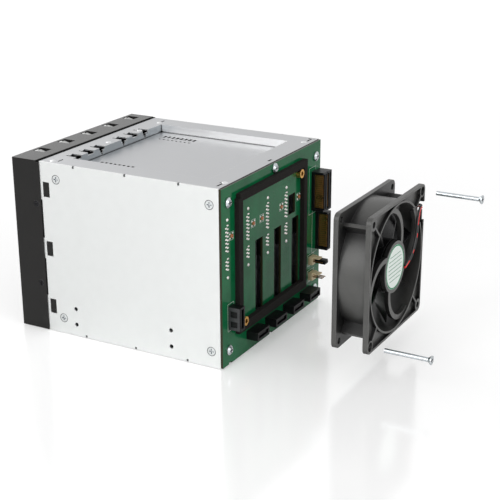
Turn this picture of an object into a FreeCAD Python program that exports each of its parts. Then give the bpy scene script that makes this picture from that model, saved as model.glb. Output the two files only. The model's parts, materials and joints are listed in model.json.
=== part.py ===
import FreeCAD, Part
import math
import os
import re
import Sketcher

# Hot swap drive cage: five upright 3.5 inch bays in a steel shell, a connector board
# across the back, a 92 mm fan drawn off the board, and a moulded front with trays.
# Millimetres. X across the width, Y from the front to the rear, Z up. The origin is in
# the middle of the width, at the bottom, on the plane where the bezel meets the steel.

BAYS = 5
BLADES = 7
VENTS = 8
DOOR_VENTS = 12
FRONT_HOLES = 4
OUTLINES = 4
TOUCH = 0.01

SIZES = {
    # steel shell
    "width": 146.0, "height": 125.0, "depth": 144.0, "sheet": 1.0, "side_flange": 17.0,
    "front_flange": 16.4, "rear_flange": 17.0, "recess": 6.0, "skirt": 24.0, "skirt_front": 9.0,
    "end_drop": 14.0, "side_hole_y": 24.7, "side_hole_span_y": 79.25, "side_hole_z": 8.4,
    "side_hole_span_z": 11.84, "side_hole_radius": 1.5, "panel_screw_y": 13.6, "panel_screw_rear": 7.0,
    "panel_screw_z": 11.4, "panel_screw_head": 3.0, "panel_screw_radius": 1.45, "panel_screw_length": 3.0,
    "driver_slot": 0.8, "driver_deep": 0.7, "hook_z": 18.9, "hook_step": 43.2, "window_long": 5.4,
    "window_tall": 10.8, "window_y": 2.2, "edge_notch": 1.8, "edge_notch_long": 1.6, "edge_notch_y": 27.9,
    "edge_notch_step": 41.9, "edge_notch_shift": 4.0, "relief": 1.0, "relief_tall": 28.0,
    "latch_slot": 3.5, "latch_slot_long": 6.4, "latch_slant": 1.6, "latch_arm": 1.6, "latch_arm_in": 0.4,
    "latch_arm_long": 2.6, "latch_slot_shift": -6.0, "latch_tail_near": 2.4, "latch_tail_far": 0.8,
    "latch_tail_deep": 3.6, "latch_tip_near": 1.2, "latch_tip_far": 0.4, "latch_deep": 5.2,
    "mark_shift": 7.5, "spring_slot": 6.0, "spring_slot_front": 11.4, "spring_slot_wide": 1.4,
    "tab_slot": 5.6, "tab_slot_rear": 1.4,
    "tab_slot_left": 6.0, "tab_slot_right": 3.0, "tab_slot_wide": 1.4, "mid_slot_left": 6.0,
    "mid_slot_right": 1.0, "mid_slot_wide": 1.8, "vent_wide": 2.2, "vent_long": 5.0, "vent_pitch": 3.7,
    "vent_y": 26.0, "near_vent_x": 38.4, "far_vent_x": -44.6, "small_vent": 1.8, "small_vent_in": 7.4,
    # bezel
    "bezel_depth": 23.0, "bezel_proud": 0.6, "bezel_rise": 0.4, "bezel_wall": 2.2, "bezel_skin": 0.6,
    "bezel_rebate": 2.8, "bezel_rebate_deep": 1.2, "mullion": 0.6,
    "bezel_notch": 9.0, "bezel_notch_front": 2.4, "bezel_notch_long": 9.6, "notch_shift": -6.6,
    "bezel_screw_y": 4.2, "bezel_screw_z": 35.0, "bezel_screw_span": 59.0, "bezel_screw_head": 2.3,
    "bezel_screw_radius": 1.2, "screw_rim": 0.6, "hook_tall": 9.4, "hook_thick": 1.6, "hook_root": 6.0,
    # bays and trays
    "bay_pitch": 27.7, "divider": 0.6, "divider_front": 1.0, "divider_rear": 5.0, "guide": 1.2,
    "guide_gap": 0.4, "drive_wide": 101.6, "drive_play": 0.2, "tray_gap": 0.25, "part_gap": 0.3,
    "air_window": 22.0, "air_step": 31.0, "air_margin": 8.0, "divider_air": 10.0,
    "tray_floor": 0.6, "tray_wall": 1.2, "tray_rear": 132.0, "tray_head": 9.5, "rail_wide": 24.4,
    "front_hole": 3.6, "front_hole_x": 5.6, "front_hole_margin": 26.0, "front_hole_step": 18.0,
    "door_thick": 2.5, "door_side": 13.1, "door_top_gap": 0.5, "hinge_z": 6.0, "hinge_radius": 2.3,
    "rib_short": 3.0, "pin_radius": 0.8, "pin_play": 0.05, "knuckle_half": 8.6, "lug_outer": 12.4,
    "lug_post": 1.5, "lug_post_up": 3.0, "side_rib": 1.2, "door_vent_z": 30.0, "door_vent_pitch": 5.2,
    "door_vent_tall": 2.6, "door_vent_half": 10.5, "door_vent_rib": 1.2, "button_half": 5.4,
    "button_tall": 9.0, "button_top": 12.0, "button_proud": 0.5, "stem_thick": 2.0, "press": 2.5,
    "button_lip": 1.6, "button_lip_low": 4.0, "button_lip_high": 3.0, "nose_gap": 2.5, "nose_slope": 1.9,
    "nose_tall": 3.0, "grip_line": 0.8, "grip_step": 2.2, "grip_deep": 0.4, "lens_radius": 1.2,
    "lens_z": 18.0, "lens_step": 6.0,
    # connector board
    "board": 1.6, "board_inset": 0.4, "slot_wide": 10.4, "slot_low": 24.0, "slot_tall": 53.0,
    "slot_pitch": 27.2, "slot_x": 22.1, "small_slot_low": 81.0, "small_slot_tall": 14.3,
    "small_slot_x": -26.7, "board_screw_in": 8.6, "board_screw_z": 11.0, "board_screw_mid": 4.1,
    "board_screw_head": 3.5, "board_screw_rise": 2.0, "board_screw_radius": 1.4, "board_screw_long": 6.0,
    "foot_notch": 3.4, "foot_notch_tall": 1.2, "foot_notch_side": 12.0, "foot_notch_mid": 3.4,
    "drive_socket_x": 9.2, "drive_socket_thick": 6.4, "drive_socket_low": 60.5, "drive_socket_tall": 44.0,
    "drive_socket_deep": 8.0, "tongue": 1.2, "data_long": 16.6, "data_thick": 6.0, "data_deep": 9.0,
    "data_wall": 1.4, "data_z": 12.5, "data_x": 32.0, "data_pitch": 27.0, "side_data_in": 11.5,
    "side_data_z": 34.0, "power_tall": 29.6, "power_thick": 6.3, "power_deep": 9.7, "power_wall": 1.3,
    "power_floor": 2.4, "power_open": 2.2, "power_board": 1.0, "power_leaf": 0.9, "power_in": 11.6,
    "power_z": 89.0, "power_step": 7.5, "power_low_z": 57.0, "header_in": 14.6, "header_wide": 7.8,
    "header_thick": 5.8, "header_base": 3.4, "header_low_z": 23.5, "header_high_z": 35.8,
    "header_wall": 8.4, "header_pin": 0.64, "header_pin_long": 11.2, "header_pitch": 2.54,
    # fan and its seat on the board
    "fan": 92.0, "fan_thick": 25.4, "fan_x": 5.0, "fan_z": 67.0, "fan_span": 82.5, "fan_flange": 3.4,
    "fan_bore": 43.0, "barrel_wall": 1.8, "bore_rim": 1.3, "flange_rim": 1.5, "flange_rib": 1.3,
    "flange_floor": 1.0, "fan_boss": 4.2, "fan_corner": 4.5, "fan_hole": 2.2, "fan_seat": 2.3, "web": 1.8,
    "web_in": 31.0, "web_out": 37.4, "fan_away": 65.0, "seat_gap": 0.2, "gasket": 3.4, "gasket_left": 44.9,
    "gasket_left_wide": 5.5, "gasket_right": 44.9, "gasket_right_wide": 5.0, "gasket_low": 41.0,
    "gasket_low_tall": 6.5, "gasket_high": 44.8, "gasket_high_tall": 5.2, "gasket_notch": 2.3,
    "gasket_notch_tall": 3.0, "standoff_radius": 3.2, "standoff_bore": 1.62,
    "standoff_neck": 2.4, "standoff_deep": 6.0, "hub_radius": 18.0, "hub_wall": 1.5, "hub_front": 2.5,
    "hub_rear": 20.2, "blade_front": 4.0, "blade_rear": 18.6, "blade_tip": 40.3, "blade_thick": 1.5,
    "blade_root_half": 4.4, "blade_tip_half": 8.6, "magnet": 1.6, "magnet_front": 5.0, "magnet_rear": 18.0,
    "shaft_radius": 1.5, "bearing_radius": 3.4, "tube_radius": 4.6, "tube_front": 6.0,
    "stator_radius": 13.2, "stator_front": 8.0, "stator_rear": 17.0, "motor_base": 17.6,
    "motor_base_front": 21.0, "label_radius": 15.2, "label_thick": 0.3, "strut_reach": 22.2,
    "strut_half": 1.7, "strut_front": 21.2, "strut_rear": 24.0, "lead_radius": 0.65, "lead_z": 30.0,
    "lead_gap": 0.08, "lead_notch": 6.0, "lead_notch_deep": 6.5, "lead_channel": 10.0,
    "lead_channel_in": 25.8, "lead_in": 1.9, "plug_long": 10.0, "plug_wide": 7.8, "plug_thick": 4.2,
    "fan_screw_radius": 1.5, "fan_screw_head": 3.0, "fan_screw_long": 32.0, "fan_screw_away": 10.0,
}

doc = FreeCAD.newDocument("drive_cage")
sheet = doc.addObject("Spreadsheet::Sheet", "sizes")
for row, (alias, number) in enumerate(SIZES.items(), start=1):
    sheet.set("A%d" % row, alias)
    sheet.set("B%d" % row, repr(number))
    sheet.setAlias("B%d" % row, alias)
doc.recompute()
parts = {}


def size(name):
    """Value of one cell of the sheet."""
    return float(sheet.get(name))


def bound(text):
    """Expression in which each alias is read from the sheet."""
    def cell(match):
        word = match.group(0)
        return "sizes." + word if word in SIZES else word
    return re.sub(r"[a-z_]+", cell, str(text))


def place(item, x="0", y="0", z="0"):
    """Binds where an object stands."""
    for axis, text in zip("xyz", (x, y, z)):
        item.setExpression("Placement.Base." + axis, bound(text))


def part_body(label, x="0", y="0", z="0"):
    """Body that becomes one named sub-part."""
    body = doc.addObject("PartDesign::Body", label)
    body.Label = label
    place(body, x, y, z)
    parts[label] = body
    return body


def origin_plane(body, name):
    """One of a body's own three origin planes."""
    return next(item for item in body.Origin.OriginFeatures if item.Role == name + "_Plane")


def sketch_on(body, plane, offset):
    """Empty sketch on one of the body's planes, moved along its normal."""
    sketch = body.newObject("Sketcher::SketchObject", "sketch")
    sketch.AttachmentSupport = [(origin_plane(body, plane), "")]
    sketch.MapMode = "FlatFace"
    sketch.setExpression("AttachmentOffset.Base.z", bound(offset))
    return sketch


def polygon(points):
    """Edges, joints and point places of a closed outline given as pairs of expressions."""
    count = len(points)
    turn = 2 * math.pi / count
    corners = [FreeCAD.Vector(math.cos(turn * i), math.sin(turn * i), 0) for i in range(count)]
    edges = [Part.LineSegment(corners[i], corners[(i + 1) % count]) for i in range(count)]
    joints = [("Coincident", i, 2, (i + 1) % count, 1) for i in range(count)]
    return edges, joints, [(i, 1, u, v) for i, (u, v) in enumerate(points)], []


def rectangle(low_u, low_v, high_u, high_v):
    """Upright rectangle between two corners."""
    return polygon([(low_u, low_v), (high_u, low_v), (high_u, high_v), (low_u, high_v)])


def circle(u, v, radius):
    """Circle with its centre and radius given as expressions."""
    edge = Part.Circle(FreeCAD.Vector(1, 1, 0), FreeCAD.Vector(0, 0, 1), 1)
    return [edge], [], [(0, 3, u, v)], [(0, radius)]


def draw(sketch, rectangles=(), circles=(), polygons=()):
    """Puts all outlines of one feature into its sketch and ties their points to the sheet."""
    outlines = [rectangle(*corners) for corners in rectangles]
    outlines += [circle(*values) for values in circles]
    outlines += [polygon(points) for points in polygons]
    edges, constraints, bindings = [], [], []
    for shape, joints, points, radii in outlines:
        first = len(edges)
        edges += shape
        for kind, one, one_end, other, other_end in joints:
            constraints.append(Sketcher.Constraint(kind, first + one, one_end, first + other, other_end))
        for index, end, u, v in points:
            for kind, text in (("DistanceX", u), ("DistanceY", v)):
                bindings.append((len(constraints), text))
                constraints.append(Sketcher.Constraint(kind, -1, 1, first + index, end, 1.0))
        for index, text in radii:
            bindings.append((len(constraints), text))
            constraints.append(Sketcher.Constraint("Radius", first + index, 1.0))
    sketch.addGeometry(edges, False)
    sketch.addConstraint(constraints)
    for index, text in bindings:
        sketch.setExpression("Constraints[%d]" % index, bound(text))


def slab(body, plane, low, high, **outlines):
    """Adds material between two levels along the plane's axis."""
    start = "-(%s)" % high if plane == "XZ" else low
    sketch = sketch_on(body, plane, start)
    draw(sketch, **outlines)
    pad = body.newObject("PartDesign::Pad", "pad")
    pad.Profile = sketch
    pad.setExpression("Length", bound("(%s) - (%s)" % (high, low)))
    return pad


def cut(body, plane, low, high, rectangles=(), circles=(), polygons=()):
    """Removes material between two levels along the plane's axis, a few outlines in each sketch."""
    start = "-(%s)" % low if plane == "XZ" else high
    outlines = [("rectangles", item) for item in rectangles]
    outlines += [("circles", item) for item in circles]
    outlines += [("polygons", item) for item in polygons]
    for first in range(0, len(outlines), OUTLINES):
        chosen = {"rectangles": [], "circles": [], "polygons": []}
        for kind, item in outlines[first:first + OUTLINES]:
            chosen[kind].append(item)
        sketch = sketch_on(body, plane, start)
        draw(sketch, **chosen)
        pocket = body.newObject("PartDesign::Pocket", "pocket")
        pocket.Profile = sketch
        pocket.setExpression("Length", bound("(%s) - (%s)" % (high, low)))


def box(name, low, high):
    """Part box between two corners given as expressions."""
    item = doc.addObject("Part::Box", name)
    for prop, start, end in zip(("Length", "Width", "Height"), low, high):
        item.setExpression(prop, bound("(%s) - (%s)" % (end, start)))
    place(item, *low)
    return item


AXIS_TURNS = {"X": (FreeCAD.Vector(0, 1, 0), 90), "Y": (FreeCAD.Vector(1, 0, 0), -90)}


def rod(name, axis, start, radius, length, end_radius=None):
    """Cylinder or cone that runs from start along plus X or Y."""
    item = doc.addObject("Part::Cylinder" if end_radius is None else "Part::Cone", name)
    if end_radius is None:
        item.setExpression("Radius", bound(radius))
    else:
        item.setExpression("Radius1", bound(radius))
        item.setExpression("Radius2", bound(end_radius))
    item.setExpression("Height", bound(length))
    turn_axis, turn = AXIS_TURNS[axis]
    item.Placement.Rotation = FreeCAD.Rotation(turn_axis, turn)
    place(item, *start)
    return item


def fused(name, items):
    """One solid from several that touch."""
    item = doc.addObject("Part::MultiFuse", name)
    item.Shapes = items
    item.Refine = True
    return item


def less(name, base, tools):
    """Base without its tools."""
    tool = tools[0]
    if len(tools) > 1:
        tool = doc.addObject("Part::Compound", name + "_tools")
        tool.Links = tools
    item = doc.addObject("Part::Cut", name)
    item.Base = base
    item.Tool = tool
    return item


def group(label, items):
    """Several separate solids of one kind under one name."""
    item = doc.addObject("Part::Compound", label)
    item.Links = items
    return named(label, item)


def named(label, item):
    """Registers a finished sub-part."""
    item.Label = label
    parts[label] = item
    return item


def copies(name, master, places):
    """Links to one master, each at its own place: (x, y, z, turn axis, turn angle)."""
    links = []
    for index, (x, y, z, turn_axis, turn) in enumerate(places):
        link = doc.addObject("App::Link", "%s_%d" % (name, index + 1))
        link.LinkedObject = master
        link.LinkTransform = True
        link.Placement.Rotation = FreeCAD.Rotation(turn_axis, turn)
        place(link, x, y, z)
        links.append(link)
    return links


UP = FreeCAD.Vector(0, 0, 1)
BEHIND = FreeCAD.Vector(0, 1, 0)

# Levels and places that several pieces share
REAR = "depth - board"
INNER = "width / 2 - sheet"
MIDDLE = "height / 2"
PAN_LOW = "recess + sheet"
PAN_HIGH = "height - recess - sheet"
GUIDE_LOW = "recess + sheet + guide"
GUIDE_HIGH = "height - recess - sheet - guide"
BEZEL_LOW = "bezel_wall"
BEZEL_HIGH = "height + bezel_rise - bezel_wall"
TRAY_SIDE = "bay_pitch / 2 - divider / 2 - tray_gap"
HINGE_Y = "door_thick - bezel_depth"
DOOR_TOP = BEZEL_HIGH + " - door_top_gap"
BUTTON_LOW = DOOR_TOP + " - button_top - button_tall"
SKIN_LOW = "height + bezel_rise - bezel_skin"
NOSE_TOP = SKIN_LOW + " - part_gap"
NOSE_BACK = "-tray_head - nose_gap"
FAN_Y = "depth + gasket + seat_gap + fan_away"
HOOK_LEVELS = ["hook_z", "hook_z + hook_step", "hook_z + 2 * hook_step"]
RELIEF_LEVELS = ["hook_z + hook_step / 2", "hook_z + 1.5 * hook_step"]
BEZEL_SCREWS = ["bezel_screw_z", "bezel_screw_z + bezel_screw_span"]
HEADER_LEVELS = ["header_low_z", "header_high_z"]
HEADER_X = "header_in - width / 2"
POWER_X = "power_in - width / 2"
SIDE_HOLES = [(along, level) for along in ("side_hole_y", "side_hole_y + side_hole_span_y")
              for level in ("side_hole_z", "side_hole_z + side_hole_span_z")]
PANEL_SCREWS = [(along, level) for along in ("panel_screw_y", REAR + " - panel_screw_rear")
                for level in ("panel_screw_z", "height - panel_screw_z")]
BOARD_SCREWS = [("%d * (width / 2 - board_screw_in)" % side, level) for side in (1, -1)
                for level in ("board_screw_z", "height - board_screw_z")]
BOARD_SCREWS.append(("0", "height - board_screw_mid"))
STANDOFFS = [("fan_x + fan_span / 2", "fan_z - fan_span / 2"),
             ("fan_x - fan_span / 2", "fan_z + fan_span / 2")]

# Each fan strut is part of a circle through the fan's axis; its far side lies this way, in degrees
STRUT_WAYS = (231, 301, 35, 129)
STRUT_START = -150
STRUT_SWEEP = 138
LEAD_STEPS = (-136, -112, -88, -64, -42)

# At the notch the two leads turn together: each corner moves this share of their spread
LEAD_MITRE = 0.65


def bay_x(index):
    """Middle of a bay, counted from the plus X side."""
    return "%g * bay_pitch" % ((BAYS - 1) / 2 - index)


def at_fan(level):
    """Point on the fan's axis, a given distance behind its front face."""
    return "fan_x", "%s + %s" % (FAN_Y, level), "fan_z"


def side_panel(label, side):
    """Flat side wall with snap windows, screw holes and mounting holes; side is 1 or -1."""
    body = part_body(label)
    low, high = (INNER, "width / 2") if side > 0 else ("-width / 2", "-(%s)" % INNER)
    slab(body, "YZ", low, high, rectangles=[("0", "0", REAR, "height")])
    windows = []
    for level in HOOK_LEVELS:
        windows.append(("window_y", level + " - window_tall / 2", "window_y + window_long",
                        level + " + window_tall / 2"))
    reliefs = []
    for level in RELIEF_LEVELS:
        reliefs.append(("-1", level + " - relief_tall / 2", "relief", level + " + relief_tall / 2"))
    notches = []
    for step in range(3):
        along = "edge_notch_y + %d * edge_notch_step" % step
        notches.append((along, "height - edge_notch", along + " + edge_notch_long", "height + 1"))
        lower = along + " + edge_notch_shift"
        notches.append((lower, "-1", lower + " + edge_notch_long", "edge_notch"))
    screws = [(along, level, "panel_screw_head + 0.05") for along, level in PANEL_SCREWS]
    holes = [(along, level, "side_hole_radius") for along, level in SIDE_HOLES]
    cut(body, "YZ", low, high, rectangles=windows + reliefs + notches, circles=screws + holes)


def latch_outline(across):
    """Cut in a pan's front rim: a narrow arm at the plus X side and a wider slot up to the fold."""
    near, far = across + " + latch_slot", across + " - latch_slot"
    arm = near + " - latch_arm_in"
    front = "front_flange - latch_slot_long"
    fold = "front_flange + 1"
    return [(near, front), (near, fold), (far, fold), (far, front + " - latch_slant"),
            (arm + " - latch_arm", front), (arm + " - latch_arm", front + " - latch_arm_long"),
            (arm, front + " - latch_arm_long"), (arm, front)]


def pan(label, top):
    """Top or bottom sheet: a flat rim, a sunk field, side skirts and folded ends."""
    def levels(near, far):
        if top:
            return "height - (%s)" % far, "height - (%s)" % near
        return near, far

    body = part_body(label)
    field_x = "width / 2 - side_flange"
    field_front = "front_flange"
    field_rear = REAR + " - rear_flange"
    field = ("-(%s)" % field_x, field_front, field_x, field_rear)
    around = ("-(%s) - sheet" % field_x, field_front + " - sheet", field_x + " + sheet",
              field_rear + " + sheet")
    slab(body, "XY", *levels("0", "sheet"), rectangles=[("-(%s)" % INNER, "0", INNER, REAR), field])
    slab(body, "XY", *levels("sheet", "recess"), rectangles=[around, field])
    slab(body, "XY", *levels("recess", "recess + sheet"), rectangles=[around])
    skirt_low, skirt_high = levels("sheet", "skirt")
    for low, high in ((INNER + " - sheet", INNER), ("-(%s)" % INNER, "sheet - (%s)" % INNER)):
        slab(body, "YZ", low, high, rectangles=[("skirt_front", skirt_low, REAR, skirt_high)])
    drop_low, drop_high = levels("sheet", "end_drop")
    slab(body, "XZ", REAR + " - sheet", REAR, rectangles=[("-(%s)" % INNER, drop_low, INNER, drop_high)])
    front_low, front_high = levels("sheet", "recess")
    slab(body, "XZ", "0", "sheet", rectangles=[("-(%s)" % INNER, front_low, INNER, front_high)])
    holes = [(along, level, "side_hole_radius") for along, level in SIDE_HOLES + PANEL_SCREWS]
    for low, high in ((INNER + " - 2 * sheet", "width"), ("-width", "2 * sheet - (%s)" % INNER)):
        cut(body, "YZ", low, high, circles=holes)
    ends = [(across, level, "side_hole_radius") for across, level in BOARD_SCREWS]
    cut(body, "XZ", REAR + " - 2 * sheet", REAR + " + 1", circles=ends)
    slots = []
    tails = []
    tips = []
    for index in range(BAYS - 1):
        across = "%s + latch_slot_shift" % bay_x(index)
        slots.append(latch_outline(across))
        wall = ("front_flange - 2 * sheet", "front_flange + 1")
        tails.append((across + " - latch_tail_far", wall[0], across + " + latch_tail_near", wall[1]))
        tips.append((across + " - latch_tip_far", wall[0], across + " + latch_tip_near", wall[1]))
    slots += [latch_outline(bay_x(index) + " - bay_pitch + mark_shift") for index in (0, 2)]
    cut(body, "XY", *levels("-1", "2 * sheet"), polygons=slots)
    cut(body, "XY", *levels("-1", "latch_tail_deep"), rectangles=tails)
    cut(body, "XY", *levels("-1", "latch_deep"), rectangles=tips)
    small = []
    for side in (-1, 1):
        across = "%d * (width / 2 - side_flange / 2)" % side
        ends = (across + " - spring_slot / 2", across + " + spring_slot / 2")
        small.append((ends[0], "spring_slot_front", ends[1], "spring_slot_front + spring_slot_wide"))
        rear = REAR + " - tab_slot_rear"
        left = across + " - tab_slot_left"
        bend = left + " + tab_slot_wide"
        middle = rear + " - tab_slot / 2"
        small.append((left, rear + " - tab_slot", bend, rear))
        small.append((bend, middle + " - tab_slot_wide / 2", across + " + tab_slot_right",
                      middle + " + tab_slot_wide / 2"))
    rear = REAR + " - 2 * tab_slot_rear"
    small.append(("-mid_slot_left", rear + " - mid_slot_wide", "-mid_slot_right", rear))
    cut(body, "XY", *levels("-1", "2 * sheet"), rectangles=small)
    vents = []
    for step in range(VENTS):
        along = "vent_y + %d * vent_pitch" % step
        for across in ("near_vent_x", "far_vent_x"):
            vents.append(("%s - vent_long / 2" % across, along, "%s + vent_long / 2" % across,
                          along + " + vent_wide"))
        inner = "far_vent_x + small_vent_in"
        vents.append((inner + " - small_vent / 2", along, inner + " + small_vent / 2",
                      along + " + small_vent"))
    cut(body, "XY", *levels("recess - 1", "recess + sheet + 1"), rectangles=vents)


def vent_grid(columns, rows, first_along, step_along, first_up, step_up, long, tall):
    """Rectangles of a grid of windows."""
    grid = []
    for column in range(columns):
        for row in range(rows):
            along = "%s + %d * %s" % (first_along, column, step_along)
            up = "%s + %d * %s" % (first_up, row, step_up)
            grid.append((along, up, along + " + " + long, up + " + " + tall))
    return grid


def divider(index):
    """Thin steel wall between two bays, with windows for air."""
    body = part_body("divider_%d" % (index + 1), x="%s - bay_pitch / 2" % bay_x(index))
    outline = ("divider_front", GUIDE_LOW, REAR + " - divider_rear", GUIDE_HIGH)
    slab(body, "YZ", "-divider / 2", "divider / 2", rectangles=[outline])
    windows = vent_grid(4, 3, "divider_air", "air_step", GUIDE_LOW + " + air_margin", "air_step",
                        "air_window", "air_window")
    cut(body, "YZ", "-divider", "divider", rectangles=windows)


def guide(label, low, high):
    """Moulded slide plate on a sunk pan, the full width between the skirts."""
    body = part_body(label)
    side = INNER + " - sheet - 0.2"
    slab(body, "XY", low, high, rectangles=[("-(%s)" % side, "sheet + 0.3", side, REAR + " - divider_rear")])


def front_bezel():
    """Moulded front frame with thin walls between the bays and hooks into the side panels."""
    body = part_body("front_bezel")
    outer_x = "width / 2 + bezel_proud"
    inner_x = outer_x + " - bezel_wall"
    outer = ("-(%s)" % outer_x, "0", outer_x, "height + bezel_rise")
    inner = ("-(%s)" % inner_x, BEZEL_LOW, inner_x, BEZEL_HIGH)
    slab(body, "XZ", "-bezel_depth", "0", rectangles=[outer, inner])
    webs = []
    for index in range(BAYS - 1):
        across = "%s - bay_pitch / 2" % bay_x(index)
        webs.append((across + " - mullion / 2", "bezel_wall / 2", across + " + mullion / 2", "height"))
    slab(body, "XZ", "1 - bezel_depth", "-0.3", rectangles=webs)
    arms = []
    noses = []
    for level in HOOK_LEVELS:
        low, high = level + " - hook_tall / 2", level + " + hook_tall / 2"
        for side in (1, -1):
            near = "%d * (%s - part_gap)" % (side, INNER)
            far = "%d * (%s - part_gap - hook_thick)" % (side, INNER)
            tip = "%d * (width / 2 - part_gap)" % side
            ends = (near, far) if side < 0 else (far, near)
            arms.append((ends[0], low, ends[1], high))
            ends = (tip, near) if side < 0 else (near, tip)
            noses.append((ends[0], low, ends[1], high))
    slab(body, "XZ", "-hook_root", "window_y + window_long - 0.4", rectangles=arms)
    slab(body, "XZ", "window_y + 0.4", "window_y + window_long - 0.4", rectangles=noses)
    notches = []
    reliefs = []
    front = "bezel_notch_front - bezel_depth"
    for index in range(BAYS):
        across = "%s + notch_shift" % bay_x(index)
        left, right = across + " - bezel_notch / 2", across + " + bezel_notch / 2"
        notches.append((left, front, right, front + " + bezel_notch_long"))
        reliefs.append((left, "-bezel_depth - 1", right, front + " + bezel_notch_long"))
    cut(body, "XY", SKIN_LOW + " - 0.1", "height + 1", rectangles=notches)
    cut(body, "XY", BEZEL_HIGH + " - 0.2", SKIN_LOW, rectangles=reliefs)
    rebate = ("-(%s) - 1" % outer_x, "-bezel_rebate", outer_x + " + 1", "1")
    cut(body, "XY", "height + bezel_rise - bezel_rebate_deep", "height + 1", rectangles=[rebate])
    screws = [("-bezel_screw_y", level, "bezel_screw_radius") for level in BEZEL_SCREWS]
    cut(body, "YZ", "-width", "width", circles=screws)
    heads = [("-bezel_screw_y", level, "bezel_screw_head + 0.05") for level in BEZEL_SCREWS]
    cut(body, "YZ", outer_x + " - screw_rim", outer_x + " + 1", circles=heads)
    cut(body, "YZ", "-(%s) - 1" % outer_x, "screw_rim - (%s)" % outer_x, circles=heads)


def tray(index):
    """Drive tray: side plate, two rails, a pierced front wall and two hinge lugs."""
    body = part_body("tray_%d" % (index + 1), x=bay_x(index))
    low, high = GUIDE_LOW + " + guide_gap", GUIDE_HIGH + " - guide_gap"
    slab(body, "YZ", TRAY_SIDE + " - tray_floor", TRAY_SIDE,
         rectangles=[("-tray_head", low, "tray_rear", high)])
    rails = ((low, MIDDLE + " - drive_wide / 2 - drive_play"),
             (MIDDLE + " + drive_wide / 2 + drive_play", high))
    for rail_low, rail_high in rails:
        outline = (TRAY_SIDE + " - rail_wide", "-tray_head", TRAY_SIDE, "tray_rear")
        slab(body, "XY", rail_low, rail_high, rectangles=[outline])
    wall = ("-(%s)" % TRAY_SIDE, low, TRAY_SIDE, high)
    slab(body, "XZ", "-tray_head", "tray_wall - tray_head", rectangles=[wall])
    holes = []
    for row in range(FRONT_HOLES):
        up = "%s + front_hole_margin + %d * front_hole_step" % (low, row)
        holes += [("-front_hole_x", up, "front_hole"), ("front_hole_x", up, "front_hole")]
    cut(body, "XZ", "-tray_head - 1", "tray_wall - tray_head + 0.1", circles=holes)
    for side in (1, -1):
        ends = ("knuckle_half + part_gap", "lug_outer")
        if side < 0:
            ends = ("-lug_outer", "-knuckle_half - part_gap")
        block = (HINGE_Y, "hinge_z - hinge_radius", "tray_wall - tray_head", "hinge_z + hinge_radius")
        slab(body, "YZ", *ends, rectangles=[block])
        slab(body, "YZ", *ends, circles=[(HINGE_Y, "hinge_z", "hinge_radius")])
        post = ("-tray_head - lug_post", "hinge_z", "tray_wall - tray_head", low + " + lug_post_up")
        slab(body, "YZ", *ends, rectangles=[post])
    cut(body, "YZ", "-lug_outer - 1", "lug_outer + 1", circles=[(HINGE_Y, "hinge_z", "pin_radius")])


def door(index):
    """Front cover of a tray: vented plate with side ribs, a knuckle and a button window."""
    body = part_body("tray_door_%d" % (index + 1), x=bay_x(index))
    step = "hinge_z + hinge_radius + 2 * part_gap"
    plate = [("-knuckle_half", "hinge_z"), ("knuckle_half", "hinge_z"), ("knuckle_half", step),
             ("door_side", step), ("door_side", DOOR_TOP), ("-door_side", DOOR_TOP),
             ("-door_side", step), ("-knuckle_half", step)]
    slab(body, "XZ", "-bezel_depth", HINGE_Y, polygons=[plate])
    slab(body, "YZ", "-knuckle_half", "knuckle_half", circles=[(HINGE_Y, "hinge_z", "door_thick")])
    ribs = [("door_side - side_rib", step, "door_side", DOOR_TOP),
            ("-door_side", step, "side_rib - door_side", DOOR_TOP)]
    slab(body, "XZ", HINGE_Y, "-tray_head - rib_short", rectangles=ribs)
    cut(body, "YZ", "-door_side", "door_side", circles=[(HINGE_Y, "hinge_z", "pin_radius + pin_play")])
    slots = []
    for row in range(DOOR_VENTS):
        up = "door_vent_z + %d * door_vent_pitch" % row
        slots.append(("-door_vent_half", up, "-door_vent_rib", up + " + door_vent_tall"))
        slots.append(("door_vent_rib", up, "door_vent_half", up + " + door_vent_tall"))
    window = ("-button_half - part_gap", BUTTON_LOW + " - press - part_gap", "button_half + part_gap",
              BUTTON_LOW + " + button_tall + part_gap")
    lenses = [(across, "lens_z", "lens_radius") for across in ("-lens_step / 2", "lens_step / 2")]
    cut(body, "XZ", "-bezel_depth - 1", HINGE_Y + " + 0.2", rectangles=slots + [window], circles=lenses)


def release_button(index):
    """Button that slides down in the door, with the stem and nose that lock the door."""
    body = part_body("release_button_%d" % (index + 1), x=bay_x(index))
    back = HINGE_Y + " + part_gap"
    rear = back + " + stem_thick"
    top = BUTTON_LOW + " + button_tall"
    slab(body, "XZ", "-bezel_depth - button_proud", rear,
         rectangles=[("-button_half", BUTTON_LOW, "button_half", top)])
    flange = ("-button_half - button_lip", BUTTON_LOW + " - button_lip_low", "button_half + button_lip",
              top + " + button_lip_high")
    slab(body, "XZ", back, rear, rectangles=[flange])
    left, right = "notch_shift - bezel_notch / 2 + 1", "notch_shift + bezel_notch / 2 - 1"
    slab(body, "XZ", back, rear, rectangles=[(left, top, right, NOSE_TOP + " - nose_slope")])
    under = NOSE_TOP + " - nose_tall"
    nose = [(back, under), (NOSE_BACK, under), (NOSE_BACK, NOSE_TOP + " - nose_slope"), (back, NOSE_TOP)]
    slab(body, "YZ", left, right, polygons=[nose])
    grooves = vent_grid(1, 3, "-button_half + 1", "0", BUTTON_LOW + " + grip_step", "grip_step",
                        "2 * button_half - 2", "grip_line")
    cut(body, "XZ", "-bezel_depth - 1", "grip_deep - bezel_depth - button_proud", rectangles=grooves)


def door_pin(index):
    """Steel pin of the door hinge."""
    label = "door_pin_%d" % (index + 1)
    start = ("%s - lug_outer" % bay_x(index), HINGE_Y, "hinge_z")
    named(label, rod(label, "X", start, "pin_radius", "2 * lug_outer"))


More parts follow.
